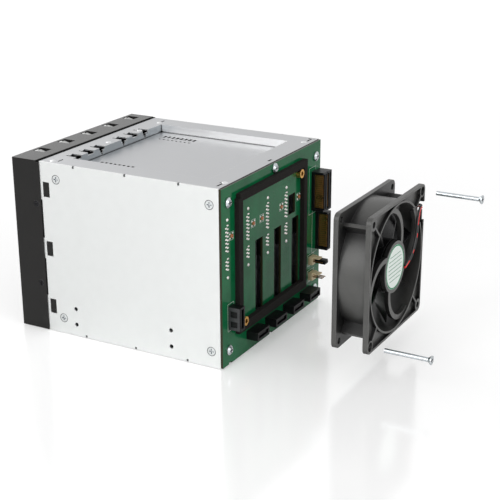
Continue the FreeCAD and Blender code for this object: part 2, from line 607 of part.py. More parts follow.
def status_lens(index):
    """Two clear light guides in a tray door."""
    label = "status_lens_%d" % (index + 1)
    guides = []
    for side in (-1, 1):
        start = ("%s + %d * lens_step / 2" % (bay_x(index), side), "-bezel_depth - 0.2", "lens_z")
        guides.append(rod("light_guide", "Y", start, "lens_radius", "door_thick + 1.2"))
    group(label, guides)


def backplane_board():
    """Green board that closes the rear, with air slots and screw holes."""
    body = part_body("backplane_board")
    side = "width / 2 - board_inset"
    outline = ("-(%s)" % side, "board_inset", side, "height - board_inset")
    slab(body, "XZ", REAR, "depth", rectangles=[outline])
    slots = []
    for index in range(3):
        middle = "slot_x - %d * slot_pitch" % index
        slots.append((middle + " - slot_wide / 2", "slot_low", middle + " + slot_wide / 2",
                      "slot_low + slot_tall"))
    slots.append(("small_slot_x - slot_wide / 2", "small_slot_low", "small_slot_x + slot_wide / 2",
                  "small_slot_low + small_slot_tall"))
    for across in ("width / 2 - foot_notch_side", "foot_notch_mid"):
        slots.append((across, "-1", across + " + foot_notch", "board_inset + foot_notch_tall"))
    screws = [(across, level, "board_screw_radius + 0.1") for across, level in BOARD_SCREWS]
    seats = [(across, level, "standoff_neck") for across, level in STANDOFFS]
    cut(body, "XZ", REAR + " - 1", "depth + 1", rectangles=slots, circles=screws + seats)


def fan_gasket():
    """Black foam frame that seals the fan to the board."""
    body = part_body("fan_gasket")
    left = "fan_x + gasket_left + gasket_left_wide"
    right = "fan_x - gasket_right - gasket_right_wide"
    low = "fan_z - gasket_low - gasket_low_tall"
    high = "fan_z + gasket_high + gasket_high_tall"
    shoulder = high + " - gasket_notch_tall"
    outline = [(right, low), (left, low), (left, shoulder), (left + " - gasket_notch", shoulder),
               (left + " - gasket_notch", high), (right, high)]
    inside = ("fan_x - gasket_right", "fan_z - gasket_low", "fan_x + gasket_left", "fan_z + gasket_high")
    slab(body, "XZ", "depth", "depth + gasket", polygons=[outline], rectangles=[inside])
    seats = [(across, level, "standoff_radius + part_gap") for across, level in STANDOFFS]
    screws = [(across, level, "board_screw_head + part_gap") for across, level in BOARD_SCREWS]
    cut(body, "XZ", "depth - 1", "depth + gasket + 1", circles=seats + screws)


def fan_standoffs():
    """Two brass threaded standoffs pressed through the board."""
    shoulder = rod("standoff_shoulder", "Y", ("0", "0", "0"), "standoff_radius", "gasket")
    neck = rod("standoff_neck", "Y", ("0", "-standoff_deep", "0"), "standoff_neck", "standoff_deep")
    bore = rod("standoff_bore", "Y", ("0", "-standoff_deep - 1", "0"), "standoff_bore",
               "standoff_deep + gasket + 2")
    master = less("standoff", fused("standoff_blank", [shoulder, neck]), [bore])
    places = [(across, "depth", level, UP, 0) for across, level in STANDOFFS]
    group("fan_standoffs", copies("standoff", master, places))


def cross_recess(name, axis_end, reach, deep):
    """Two crossed boxes that cut a driver recess into a head whose top is at axis_end along Y."""
    half = "driver_slot / 2"
    upright = box(name + "_upright", ("-" + half, axis_end + " - " + deep, "-" + reach),
                  (half, axis_end + " + 1", reach))
    level = box(name + "_level", ("-" + reach, axis_end + " - " + deep, "-" + half),
                (reach, axis_end + " + 1", half))
    return [upright, level]


def screw(name, head, rise, cone_rise, cone_end, radius, long, reach):
    """Screw along Y, head towards plus Y with its underside at zero."""
    shank = rod(name + "_shank", "Y", ("0", "-(%s)" % long, "0"), radius, long)
    rim = rod(name + "_rim", "Y", ("0", "0", "0"), head, rise)
    crown = rod(name + "_crown", "Y", ("0", rise, "0"), head, cone_rise, cone_end)
    blank = fused(name + "_blank", [shank, rim, crown])
    top = "%s + %s" % (rise, cone_rise)
    return less(name, blank, cross_recess(name, top, reach, "driver_deep"))


def screws():
    """Screws of the board, the side panels and the bezel."""
    half_rise = "board_screw_rise / 2"
    pan_head = screw("pan_screw", "board_screw_head", half_rise, half_rise, "board_screw_head * 0.6",
                     "board_screw_radius", "board_screw_long", "board_screw_head * 0.55")
    group("board_screws", copies("board_screw", pan_head, [(x, "depth", z, UP, 0) for x, z in BOARD_SCREWS]))
    flat = screw("flat_screw", "panel_screw_head", "sheet * 0.8", "sheet * 0.2", "panel_screw_head - 0.2",
                 "panel_screw_radius", "panel_screw_length", "panel_screw_head * 0.6")
    places = []
    for side, turn in ((1, -90), (-1, 90)):
        places += [("%d * (%s)" % (side, INNER), along, level, UP, turn) for along, level in PANEL_SCREWS]
    group("panel_screws", copies("panel_screw", flat, places))
    small = screw("small_screw", "bezel_screw_head", "screw_rim * 0.8", "screw_rim * 0.2",
                  "bezel_screw_head - 0.2", "bezel_screw_radius", "bezel_wall + 1",
                  "bezel_screw_head * 0.6")
    places = []
    for side, turn in ((1, -90), (-1, 90)):
        seat = "%d * (width / 2 + bezel_proud - screw_rim)" % side
        places += [(seat, "-bezel_screw_y", level, UP, turn) for level in BEZEL_SCREWS]
    group("bezel_screws", copies("bezel_screw", small, places))


def drive_connectors():
    """One combined data and power socket for each drive, on the front of the board."""
    shell = box("socket_shell", ("-drive_socket_thick / 2", "-drive_socket_deep", "0"),
                ("drive_socket_thick / 2", "0", "drive_socket_tall"))
    hollow = box("socket_slot", ("-tongue", "-drive_socket_deep - 1", "3"),
                 ("tongue", "-2", "drive_socket_tall - 3"))
    master = less("drive_socket", shell, [hollow])
    places = [("%s + drive_socket_x" % bay_x(index), REAR, "drive_socket_low", UP, 0)
              for index in range(BAYS)]
    group("drive_connectors", copies("drive_socket", master, places))


def data_connectors():
    """Data plugs' headers: four in a row along the bottom and one upright at the side."""
    half = "data_long / 2"
    shell = box("data_shell", ("-" + half, "0", "-data_thick / 2"), (half, "data_deep", "data_thick / 2"))
    mouth = box("data_mouth", ("data_wall - " + half, "data_wall", "data_wall - data_thick / 2"),
                (half + " - data_wall", "data_deep + 1", "data_thick / 2 - data_wall"))
    tongue = box("data_tongue", ("2 * data_wall - " + half, "data_wall / 2", "-tongue / 2"),
                 (half + " - 2 * data_wall", "data_deep - 1", "tongue / 2"))
    master = fused("data_header", [less("data_cup", shell, [mouth]), tongue])
    places = [("data_x - %d * data_pitch" % index, "depth", "data_z", UP, 0) for index in range(4)]
    places.append(("width / 2 - side_data_in", "depth", "side_data_z", BEHIND, 90))
    group("data_connectors", copies("data_header", master, places))


def power_connectors():
    """Three upright power headers, open on one side so that the contact board shows."""
    half = "power_tall / 2"
    shell = box("power_shell", ("-power_thick / 2", "0", "-" + half), ("power_thick / 2", "power_deep", half))
    opening = box("power_opening", ("power_thick / 2 - power_open", "power_floor", "power_wall - " + half),
                  ("power_thick / 2 + 1", "power_deep + 1", half + " - power_wall"))
    mouth = box("power_mouth", ("power_wall - power_thick / 2", "power_floor", "power_wall - " + half),
                ("power_thick / 2 - power_open - power_board", "power_deep + 1", half + " - power_wall"))
    master = less("power_header", shell, [opening, mouth])
    board = box("power_board", ("power_thick / 2 - power_open", "power_floor", "power_wall + 1 - " + half),
                ("power_thick / 2 - power_open + power_leaf", "power_deep - 0.8", half + " - power_wall - 1"))
    places = [(POWER_X, "depth", "power_z", UP, 0),
              (POWER_X + " - power_step", "depth", "power_z - 0.5", UP, 0),
              (POWER_X + " - power_step", "depth", "power_low_z", UP, 0)]
    group("power_connectors", copies("power_header", master, places))
    contacts = copies("power_leaf", board, places)
    pin = box("header_pin", ("-header_pin / 2", "header_base", "-header_pin / 2"),
              ("header_pin / 2", "header_pin_long", "header_pin / 2"))
    pins = []
    for level in HEADER_LEVELS:
        for step in (-1, 0, 1):
            pins.append(("%s + %d * header_pitch" % (HEADER_X, step), "depth", level, UP, 0))
    group("rear_contacts", contacts + copies("pin", pin, pins))


def fan_headers():
    """Two pale three pin headers with a friction wall."""
    base = box("header_base", ("-header_wide / 2", "0", "-header_thick / 2"),
               ("header_wide / 2", "header_base", "header_thick / 2"))
    wall = box("header_wall", ("-header_wide / 3", "header_base - 0.5", "header_thick / 2 - 1"),
               ("header_wide / 3", "header_wall", "header_thick / 2"))
    master = fused("header", [base, wall])
    places = [(HEADER_X, "depth", level, UP, 0) for level in HEADER_LEVELS]
    group("fan_headers", copies("header", master, places))


def fan_shell():
    """Square fan frame with two flanges, a round barrel and the motor base."""
    body = doc.addObject("PartDesign::Body", "fan_shell")
    place(body, "fan_x", FAN_Y, "fan_z")
    square = ("-fan / 2", "-fan / 2", "fan / 2", "fan / 2")
    bore = ("0", "0", "fan_bore")
    slab(body, "XZ", "0", "fan_flange", rectangles=[square], circles=[bore])
    slab(body, "XZ", "fan_flange", "fan_thick - fan_flange",
         circles=[bore, ("0", "0", "fan_bore + barrel_wall")])
    slab(body, "XZ", "fan_thick - fan_flange", "fan_thick", rectangles=[square], circles=[bore])
    doc.recompute()
    half = size("fan") / 2 - TOUCH
    corners = []
    for number, edge in enumerate(body.Shape.Edges, start=1):
        local = body.Placement.inverse().multVec(edge.CenterOfMass)
        if abs(local.x) > half and abs(local.z) > half:
            corners.append("Edge%d" % number)
    base = body.Tip
    rounding = body.newObject("PartDesign::Fillet", "corner_rounding")
    rounding.Base = (base, corners)
    rounding.setExpression("Radius", bound("fan_corner"))
    body.Tip = rounding
    webs = []
    inner, outer, thin = "web_in", "web_out", "web / 2"
    for across in (1, -1):
        for up in (1, -1):
            corners = [(inner, inner, -1), (outer, outer, -1), (outer, outer, 1), (inner, inner, 1)]
            points = []
            for u, v, offset in corners:
                points.append(("%d * (%s + (%d) * %s)" % (across, u, offset, thin),
                               "%d * (%s + (%d) * %s)" % (up, v, -offset, thin)))
            webs.append(points)
    slab(body, "XZ", "fan_flange", "fan_thick - fan_flange", polygons=webs)
    hole = "fan_span / 2"
    holes = []
    for across in (1, -1):
        for up in (1, -1):
            holes.append(("%d * %s" % (across, hole), "%d * %s" % (up, hole), "fan_hole"))
    cut(body, "XZ", "-1", "fan_thick + 1", circles=holes)
    seats = [(hole, "-" + hole, "fan_screw_head + 0.2"), ("-" + hole, hole, "fan_screw_head + 0.2")]
    cut(body, "XZ", "fan_thick - fan_seat", "fan_thick + 1", circles=seats)
    channel = ("-fan / 2 - 1", "lead_z - lead_channel", "-lead_channel_in", "lead_z + lead_notch / 2")
    cut(body, "XZ", "strut_rear", "fan_thick + 1", rectangles=[channel])
    notch = ("-fan / 2 - 1", "lead_z - lead_notch / 2", "lead_notch_deep - fan / 2",
             "lead_z + lead_notch / 2")
    cut(body, "XZ", "fan_thick - fan_flange - 1", "fan_thick + 1", rectangles=[notch])
    return body


def flange_pockets():
    """Hollows in the corners of the rear flange, either side of a rib between bore and screw boss."""
    start, end = FAN_Y + " + fan_thick - fan_flange + flange_floor", FAN_Y + " + fan_thick + 1"
    bore = rod("bore_rim", "Y", ("fan_x", start, "fan_z"), "fan_bore + bore_rim", "%s - (%s)" % (end, start))
    pockets = []
    for across, up in ((1, 1), (1, -1), (-1, 1), (-1, -1)):
        reach = "(fan / 2 - flange_rim)"
        low_x = "fan_x" if across > 0 else "fan_x - " + reach
        low_z = "fan_z" if up > 0 else "fan_z - " + reach
        far = (low_x + " + " + reach, end, low_z + " + " + reach)
        corner = box("flange_corner", (low_x, start, low_z), far)
        middle = ("fan_x + %d * fan_span / 2" % across, start, "fan_z + %d * fan_span / 2" % up)
        boss = rod("flange_boss", "Y", middle, "fan_boss", "%s - (%s)" % (end, start))
        rib = doc.addObject("Part::Box", "flange_rib")
        for prop, text in (("Length", "fan_span"), ("Width", "%s - (%s)" % (end, start)),
                           ("Height", "flange_rib")):
            rib.setExpression(prop, bound(text))
        turn = math.degrees(math.atan2(-up, across))
        rib.Placement.Rotation = FreeCAD.Rotation(BEHIND, turn)
        half = "flange_rib / 2 * %.5f" % math.sqrt(0.5)
        place(rib, "fan_x + %d * %s" % (up, half), start, "fan_z - %d * %s" % (across, half))
        pockets.append(less("flange_pocket", corner, [bore, boss, rib]))
    return pockets


def fan_frame():
    """Fan shell with its motor base, bearing tube and four curved struts."""
    base = rod("motor_base", "Y", at_fan("motor_base_front"), "motor_base", "strut_rear - motor_base_front")
    tube = rod("bearing_tube", "Y", at_fan("tube_front"), "tube_radius", "motor_base_front - tube_front")
    struts = []
    for way in STRUT_WAYS:
        outer = rod("strut_outer", "Y", ("0", "0", "0"), "strut_reach + strut_half",
                    "strut_rear - strut_front")
        inner = rod("strut_inner", "Y", ("0", "-1", "0"), "strut_reach - strut_half",
                    "strut_rear - strut_front + 2")
        outer.Angle = STRUT_SWEEP
        arc = less("strut_arc", outer, [inner])
        arc.Placement.Rotation = FreeCAD.Rotation(BEHIND, way + STRUT_START)
        across, up = math.cos(math.radians(way)), -math.sin(math.radians(way))
        place(arc, "fan_x + (%.5f) * strut_reach" % across, FAN_Y + " + strut_front",
              "fan_z + (%.5f) * strut_reach" % up)
        struts.append(arc)
    blank = fused("fan_blank", [fan_shell(), base, tube] + struts)
    bore = rod("tube_bore", "Y", at_fan("tube_front - 1"), "bearing_radius",
               "motor_base_front - tube_front + 1")
    recess = rod("label_recess", "Y", at_fan("strut_rear - label_thick"), "label_radius + 0.1", "2")
    named("fan_frame", less("fan_frame", blank, [bore, recess] + flange_pockets()))
    named("fan_label", rod("fan_label", "Y", at_fan("strut_rear - label_thick"), "label_radius",
                           "label_thick"))


def ring(label, outer, inner, front, rear):
    """Ring about the fan's axis between two levels of the fan."""
    solid = rod(label + "_outer", "Y", at_fan(front), outer, "%s - (%s)" % (rear, front))
    hollow = rod(label + "_inner", "Y", at_fan(front + " - 1"), inner, "%s - (%s) + 2" % (rear, front))
    return named(label, less(label, solid, [hollow]))


def fan_motor():
    """Bearing, stator, magnet ring and shaft inside the hub."""
    ring("fan_bearing", "bearing_radius", "shaft_radius + pin_play", "tube_front", "motor_base_front")
    ring("fan_stator", "stator_radius", "tube_radius", "stator_front", "stator_rear")
    ring("fan_magnet", "hub_radius - hub_wall", "hub_radius - hub_wall - magnet", "magnet_front",
         "magnet_rear")
    start = at_fan("hub_front + hub_wall")
    named("fan_shaft", rod("fan_shaft", "Y", start, "shaft_radius",
                           "motor_base_front - hub_front - hub_wall - 1"))


def fan_impeller():
    """Hub cup with curved blades about the fan's axis."""
    body = part_body("fan_impeller", "fan_x", FAN_Y, "fan_z")
    slab(body, "XZ", "hub_front", "hub_rear", circles=[("0", "0", "hub_radius")])
    cut(body, "XZ", "hub_front + hub_wall", "hub_rear + 1", circles=[("0", "0", "hub_radius - hub_wall")])
    sections = []
    for offset, half in (("hub_radius - hub_wall / 2", "blade_root_half"), ("blade_tip", "blade_tip_half")):
        section = sketch_on(body, "YZ", offset)
        outline = [("blade_front", "-" + half), ("blade_front + blade_thick", "-%s - 0.4" % half),
                   ("blade_rear", half + " - blade_thick"), ("blade_rear", half)]
        draw(section, polygons=[outline])
        sections.append(section)
    blade = body.newObject("PartDesign::AdditiveLoft", "blade")
    blade.Profile = sections[0]
    blade.Sections = [sections[1]]
    pattern = body.newObject("PartDesign::PolarPattern", "blades")
    pattern.Originals = [blade]
    axis = next(item for item in body.Origin.OriginFeatures if item.Role == "Y_Axis")
    pattern.Axis = (axis, [""])
    pattern.Angle = 360
    pattern.Occurrences = BLADES
    body.Tip = pattern


def lead_path(points):
    """Wire through points with its corners rounded by tangent arcs."""
    edges = []
    start = points[0]
    for before, corner, after in zip(points, points[1:], points[2:]):
        into, out = corner - before, after - corner
        turn = into.getAngle(out)
        radius = 0.45 * min(into.Length, out.Length) / math.tan(turn / 2)
        back = radius * math.tan(turn / 2)
        into.normalize()
        out.normalize()
        first, last = corner - into * back, corner + out * back
        inward = (out - into).normalize()
        middle = corner + inward * (radius / math.cos(turn / 2) - radius)
        edges.append(Part.LineSegment(start, first).toShape())
        edges.append(Part.Arc(first, middle, last).toShape())
        start = last
    edges.append(Part.LineSegment(start, points[-1]).toShape())
    return Part.Wire(edges)


def fan_leads():
    """Two thin leads along one strut, out by the notch to a small plug held between the flanges."""
    front = size("depth") + size("gasket") + size("seat_gap") + size("fan_away")
    centre = FreeCAD.Vector(size("fan_x"), front, size("fan_z"))
    spread = size("lead_radius") + size("lead_gap")
    level = size("strut_rear") + size("lead_radius") + 0.05
    reach = size("strut_reach")
    way = STRUT_WAYS[0]
    middle = FreeCAD.Vector(math.cos(math.radians(way)), 0, -math.sin(math.radians(way))) * reach
    for label, side in (("fan_lead_red", 1), ("fan_lead_black", -1)):
        points = []
        radius = reach + side * spread
        for step in LEAD_STEPS:
            turn = math.radians(way + step)
            points.append(middle + FreeCAD.Vector(math.cos(turn), 0, -math.sin(turn)) * radius)
        up = size("lead_z") - side * spread
        points = [centre + point + FreeCAD.Vector(0, level, 0) for point in points]
        outlet = size("lead_in") - size("fan") / 2
        inner = size("lead_notch_deep") - size("fan") / 2 - side * spread * LEAD_MITRE
        points.append(centre + FreeCAD.Vector(inner, level, up))
        points.append(centre + FreeCAD.Vector(outlet, level, up))
        points.append(centre + FreeCAD.Vector(outlet, size("fan_flange") + size("plug_long"), up))
        path = lead_path(points)
        start = path.Edges[0]
        direction = start.tangentAt(start.FirstParameter)
        circle = Part.Wire(Part.makeCircle(size("lead_radius"), points[0], direction))
        tube = path.makePipeShell([circle], True, False)
        item = doc.addObject("Part::Feature", label)
        item.Shape = tube
        named(label, item)
        expected = math.pi * size("lead_radius") ** 2 * path.Length
        print(label, "radius %.2f" % size("lead_radius"), "length %.1f" % path.Length,
              "volume ratio %.4f" % (tube.Volume / expected))
    plug = box("lead_plug", ("fan_x + 0.3 - fan / 2", FAN_Y + " + fan_flange + 0.1",
                             "fan_z + lead_z - plug_wide / 2"),
               ("fan_x + 0.3 - fan / 2 + plug_thick", FAN_Y + " + fan_flange + plug_long",
                "fan_z + lead_z + plug_wide / 2"))
    named("lead_plug", plug)


def fan_screws():
    """Two long flat head screws, drawn back behind the fan."""
    long = "fan_screw_long - fan_seat"
    shank = rod("long_shank", "Y", ("0", "0", "0"), "fan_screw_radius", long)
    flare = rod("long_flare", "Y", ("0", long, "0"), "fan_screw_radius", "fan_seat - screw_rim",
                "fan_screw_head")
    rim = rod("long_rim", "Y", ("0", "fan_screw_long - screw_rim", "0"), "fan_screw_head", "screw_rim")
    blank = fused("long_blank", [shank, flare, rim])
    recess = cross_recess("long_screw", "fan_screw_long", "fan_screw_head * 0.62", "1")
    master = less("long_screw", blank, recess)
    tip = FAN_Y + " + fan_thick + fan_screw_away"
    for label, (across, level) in zip(("fan_screw_lower", "fan_screw_upper"), STANDOFFS):
        item = doc.addObject("Part::Compound", label)
        item.Links = copies(label + "_body", master, [(across, tip, level, UP, 0)])
        named(label, item)


for top, label in ((True, "top_pan"), (False, "bottom_pan")):
    pan(label, top)
for side, label in ((1, "side_panel_right"), (-1, "side_panel_left")):
    side_panel(label, side)
for number in range(BAYS - 1):
    divider(number)
guide("lower_guide", PAN_LOW, GUIDE_LOW)
guide("upper_guide", GUIDE_HIGH, PAN_HIGH)
front_bezel()
for number in range(BAYS):
    tray(number)
    door(number)
    release_button(number)
    door_pin(number)
    status_lens(number)
backplane_board()
fan_gasket()
fan_standoffs()
screws()
drive_connectors()
data_connectors()
power_connectors()
fan_headers()
fan_frame()
fan_motor()
fan_impeller()
fan_leads()
fan_screws()
doc.recompute()

failed = [item.Label for item in doc.Objects if "Invalid" in item.State or "Error" in item.State]
for label, item in parts.items():
    if item.Shape.isNull() or not item.Shape.isValid():
        failed.append(label)
if failed:
    raise SystemExit("failed: " + ", ".join(failed))

os.makedirs("parts", exist_ok=True)
for label, item in parts.items():
    item.Shape.exportStep("parts/%s.step" % label)
print(len(parts), "parts")
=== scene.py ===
import bmesh
import bpy
import json
import math
from mathutils import Matrix, Vector


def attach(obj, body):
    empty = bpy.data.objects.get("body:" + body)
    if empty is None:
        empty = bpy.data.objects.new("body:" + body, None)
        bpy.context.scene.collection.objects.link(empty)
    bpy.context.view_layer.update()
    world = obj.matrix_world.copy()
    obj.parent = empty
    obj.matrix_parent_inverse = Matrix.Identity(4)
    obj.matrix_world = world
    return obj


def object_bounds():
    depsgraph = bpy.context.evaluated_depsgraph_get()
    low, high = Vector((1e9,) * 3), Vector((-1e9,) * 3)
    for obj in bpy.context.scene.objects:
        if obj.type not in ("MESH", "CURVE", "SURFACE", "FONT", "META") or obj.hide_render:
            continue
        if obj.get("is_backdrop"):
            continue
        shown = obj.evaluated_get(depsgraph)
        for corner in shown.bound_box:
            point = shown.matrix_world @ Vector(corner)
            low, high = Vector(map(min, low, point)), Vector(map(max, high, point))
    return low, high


# Looks of the hot swap drive cage. Places are in millimetres of the part's frame: X across the
# width, Y from the front to the rear, Z up. New meshes are scaled to metres when they are made.
# Bay 1 is the one at the largest X.

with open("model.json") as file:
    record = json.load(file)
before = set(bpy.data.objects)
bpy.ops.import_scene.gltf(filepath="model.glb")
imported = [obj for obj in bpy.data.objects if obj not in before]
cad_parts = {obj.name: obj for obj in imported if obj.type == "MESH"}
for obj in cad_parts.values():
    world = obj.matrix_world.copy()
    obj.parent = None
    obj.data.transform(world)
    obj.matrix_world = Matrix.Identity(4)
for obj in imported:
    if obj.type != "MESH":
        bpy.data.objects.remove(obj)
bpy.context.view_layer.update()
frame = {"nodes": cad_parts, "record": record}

MM = 0.001
BAYS = 5
PITCH = 27.7
BAY_X = [((BAYS - 1) / 2 - index) * PITCH for index in range(BAYS)]
BOARD_FACE = 144.0
FAN_X, FAN_Z = 5.0, 67.0
FAN_FRONT = 212.6
STRUT_DEPTH = 24.0
STRUT_REAR = FAN_FRONT + STRUT_DEPTH
BACK = (0, 1, 0)
UP = (0, 0, 1)


def colour(red, green, blue):
    """Linear colour from sRGB values of 0 to 255."""
    linear = []
    for value in (red / 255, green / 255, blue / 255):
        linear.append(value / 12.92 if value <= 0.04045 else ((value + 0.055) / 1.055) ** 2.4)
    return (*linear, 1.0)


def shade(rgba, factor):
    """The same colour, lighter or darker."""
    return (*[min(1.0, value * factor) for value in rgba[:3]], 1.0)


class Tree:
    """The nodes of a material or of the world."""

    MIX_SOCKETS = {"FLOAT": (2, 3, 0), "RGBA": (6, 7, 2)}

    def __init__(self, tree):
        self.nodes, self.links = tree.nodes, tree.links

    def feed(self, socket, value):
        """Links an output to an input, or sets the input to a plain value."""
        if isinstance(value, bpy.types.NodeSocket):
            self.links.new(value, socket)
        else:
            socket.default_value = value

    def add(self, kind, *values, operation=None, **named):
        """A node with inputs fed by place or by name; names use underscores for spaces."""
        node = self.nodes.new(kind)
        if operation:
            node.operation = operation
        for place, value in enumerate(values):
            self.feed(node.inputs[place], value)
        for name, value in named.items():
            self.feed(node.inputs[name.replace("_", " ")], value)
        return node

    def calc(self, operation, *values):
        """The result of a calculation with numbers."""
        return self.add("ShaderNodeMath", *values, operation=operation).outputs[0]

    def spread(self, fac, low, high, start=0.3, end=0.7):
        """A factor between start and end brought into the range from low to high."""
        return self.add("ShaderNodeMapRange", Value=fac, From_Min=start, From_Max=end,
                        To_Min=low, To_Max=high).outputs[0]

    def mix(self, fac, first, second, kind="RGBA"):
        """Two colours, or two numbers, mixed by a factor."""
        node = self.nodes.new("ShaderNodeMix")
        node.data_type = kind
        one, two, result = self.MIX_SOCKETS[kind]
        for place, value in ((0, fac), (one, first), (two, second)):
            self.feed(node.inputs[place], value)
        return node.outputs[result]


class Shader(Tree):
    """A material of the object, built up step by step."""

    COAT_ROUGHNESS = 0.25
    EDGE_SAMPLES = 4
    SHADE_SAMPLES = 8

    def __init__(self, name, base, metallic=0.0, roughness=0.5, coat=0.0, specular=0.5):
        self.material = bpy.data.materials.new(name)
        self.material.use_nodes = True
        super().__init__(self.material.node_tree)
        self.surface = self.nodes["Principled BSDF"].inputs
        self.surface["Base Color"].default_value = base
        self.surface["Metallic"].default_value = metallic
        self.surface["Roughness"].default_value = roughness
        self.surface["Coat Weight"].default_value = coat
        self.surface["Coat Roughness"].default_value = self.COAT_ROUGHNESS
        self.surface["Specular IOR Level"].default_value = specular
        self.normal = None
        self.place = self.add("ShaderNodeTexCoord").outputs["Object"]

    def noise(self, scale, detail=3.0):
        """Noise with about `scale` features in a metre."""
        return self.add("ShaderNodeTexNoise", Vector=self.place, Scale=scale, Detail=detail,
                        Roughness=0.55).outputs["Fac"]

    def facing(self):
        """The X, Y and Z parts of the direction that a face looks in."""
        shape = self.add("ShaderNodeNewGeometry").outputs
        return self.add("ShaderNodeSeparateXYZ", shape["True Normal"]).outputs

    def rounded(self, radius):
        """Directions of the surface as if its edges had a radius in millimetres."""
        node = self.add("ShaderNodeBevel", Radius=radius * MM)
        node.samples = self.EDGE_SAMPLES
        return node.outputs[0]

    def edges(self, radius):
        """Factor that is 1 at sharp edges and 0 on flat faces."""
        plain = self.add("ShaderNodeNewGeometry").outputs["Normal"]
        dot = self.add("ShaderNodeVectorMath", self.rounded(radius), plain,
                       operation="DOT_PRODUCT")
        return self.spread(dot.outputs["Value"], 1.0, 0.0, 0.75, 0.98)

    def painted_shade_mask(self, reach, low, high):
        """Factor that is 0 in hollows and 1 in the open, for painting shade; reach is in
        millimetres.
        """
        node = self.add("ShaderNodeAmbientOcclusion", Distance=reach * MM)
        node.samples = self.SHADE_SAMPLES
        return self.spread(node.outputs["AO"], 0.0, 1.0, low, high)

    def paint(self, output):
        """Links the base colour."""
        self.feed(self.surface["Base Color"], output)

    def rough(self, output):
        """Links the roughness."""
        self.feed(self.surface["Roughness"], output)

    def soften(self, radius):
        """Rounds the edges for the light by a radius in millimetres."""
        self.normal = self.rounded(radius)
        self.feed(self.surface["Normal"], self.normal)

    def bump(self, height, depth, strength):
        """Adds relief of a depth in millimetres."""
        node = self.add("ShaderNodeBump", Height=height, Distance=depth * MM, Strength=strength)
        if self.normal is not None:
            self.feed(node.inputs["Normal"], self.normal)
        self.normal = node.outputs[0]
        self.feed(self.surface["Normal"], self.normal)


def metal(name, base, roughness, spangle=0.05, soft=0.15, wear_and_highlight=None, rim=0.3, painted_side_light=None,
          painted_hollow_shade=None):
    """Zinc, steel, brass or gold with faint blotches, fine grain and softened edges.

    Wear and highlight is the colour of the edges, rim millimetres wide; on the bright zinc it
    is a painted highlight. Painted side light is the colours of faces that look along X and
    along Y, painted light and shade by how they face. Painted hollow shade is the colour of
    painted shade in slots and creases, then its reach in millimetres and the range of openness
    over which the colour fades.
    """
    shader = Shader(name, base, metallic=1.0, roughness=roughness)
    shader.soften(soft)
    blotch = shader.noise(140, detail=4.0)
    grain = shader.noise(2600, detail=2.0)
    tone = shader.mix(shader.spread(blotch, 0.0, 1.0), shade(base, 1 - spangle),
                      shade(base, 1 + spangle))
    tone = shader.mix(shader.spread(grain, 0.0, 0.5), tone, shade(base, 1 - 2 * spangle))
    # Faces that look along X and along Y get painted light and shade, by the way they face.
    if painted_side_light:
        facing = shader.facing()
        for side, side_light in zip("XY", painted_side_light):
            tone = shader.mix(shader.spread(facing[side], 0.0, 1.0, 0.3, 0.8), tone, side_light)
    # Edges take the wear and highlight colour; on bright zinc this is a painted highlight.
    if wear_and_highlight:
        tone = shader.mix(shader.edges(rim), tone, wear_and_highlight)
    # Slots and creases are painted dark as shade.
    if painted_hollow_shade:
        tone = shader.mix(shader.painted_shade_mask(*painted_hollow_shade[1:]), painted_hollow_shade[0], tone)
    shader.paint(tone)
    vary = min(0.06, 2 * spangle)
    shader.rough(shader.spread(blotch, roughness - vary, roughness + vary))
    shader.bump(grain, 0.012, 0.5)
    return shader.material


def plastic(name, base, roughness, grain=1500, relief=0.03, coat=0.0, edge_highlight=None, soft=0.35,
            specular=0.5, spread=0.1, painted_hollow_shade=None, sheen=0.0):
    """Moulded plastic with a fine grain and softened edges.

    Edge highlight is painted on the edges; painted hollow shade darkens deep places.
    """
    shader = Shader(name, base, roughness=roughness, coat=coat, specular=specular)
    shader.surface["Sheen Weight"].default_value = sheen
    shader.surface["Sheen Roughness"].default_value = 0.35
    shader.soften(soft)
    cloud = shader.noise(60)
    fine = shader.noise(grain)
    tone = shader.mix(shader.spread(cloud, 0.0, 1.0), shade(base, 1 - spread),
                      shade(base, 1 + spread))
    # Edges are painted lighter as a highlight.
    if edge_highlight:
        tone = shader.mix(shader.edges(soft), tone, edge_highlight)
    # Deep places are painted dark as shade.
    if painted_hollow_shade:
        tone = shader.mix(shader.painted_shade_mask(40, 0.46, 0.8), painted_hollow_shade, tone)
    shader.paint(tone)
    shader.rough(shader.spread(fine, roughness - 0.07, roughness + 0.08))
    shader.bump(fine, relief, 0.6)
    return shader.material


def board_mask():
    """Glossy green solder mask with fine upright traces, a faint weave and brown cut edges."""
    base, trace, cut = colour(12, 96, 56), colour(46, 116, 82), colour(50, 48, 32)
    shader = Shader("board_mask", base, roughness=0.08, specular=0.2)
    cloud = shader.noise(45, detail=2.0)
    tone = shader.mix(shader.spread(cloud, 0.0, 1.0), shade(base, 0.8), shade(base, 1.2))
    lines = shader.add("ShaderNodeTexWave", Vector=shader.place, Scale=330.0, Distortion=0.6,
                       Detail=0.0, Detail_Scale=0.05)
    lines.bands_direction = "X"
    lines.wave_profile = "SIN"
    field = shader.noise(26, detail=0.0)
    traces = shader.calc("MULTIPLY", shader.spread(lines.outputs["Fac"], 0.0, 1.0, 0.72, 0.86),
                         shader.spread(field, 0.0, 1.0, 0.46, 0.56))
    tone = shader.mix(shader.spread(traces, 0.0, 0.5, 0.0, 1.0), tone, trace)
    level = shader.calc("ABSOLUTE", shader.facing()["Y"])
    tone = shader.mix(shader.spread(level, 1.0, 0.0, 0.3, 0.6), tone, cut)
    shader.paint(tone)
    weave = shader.noise(1800, detail=1.0)
    shader.bump(weave, 0.004, 0.3)
    shader.bump(traces, 0.03, 0.6)
    shader.rough(shader.spread(cloud, 0.06, 0.1))
    return shader.material


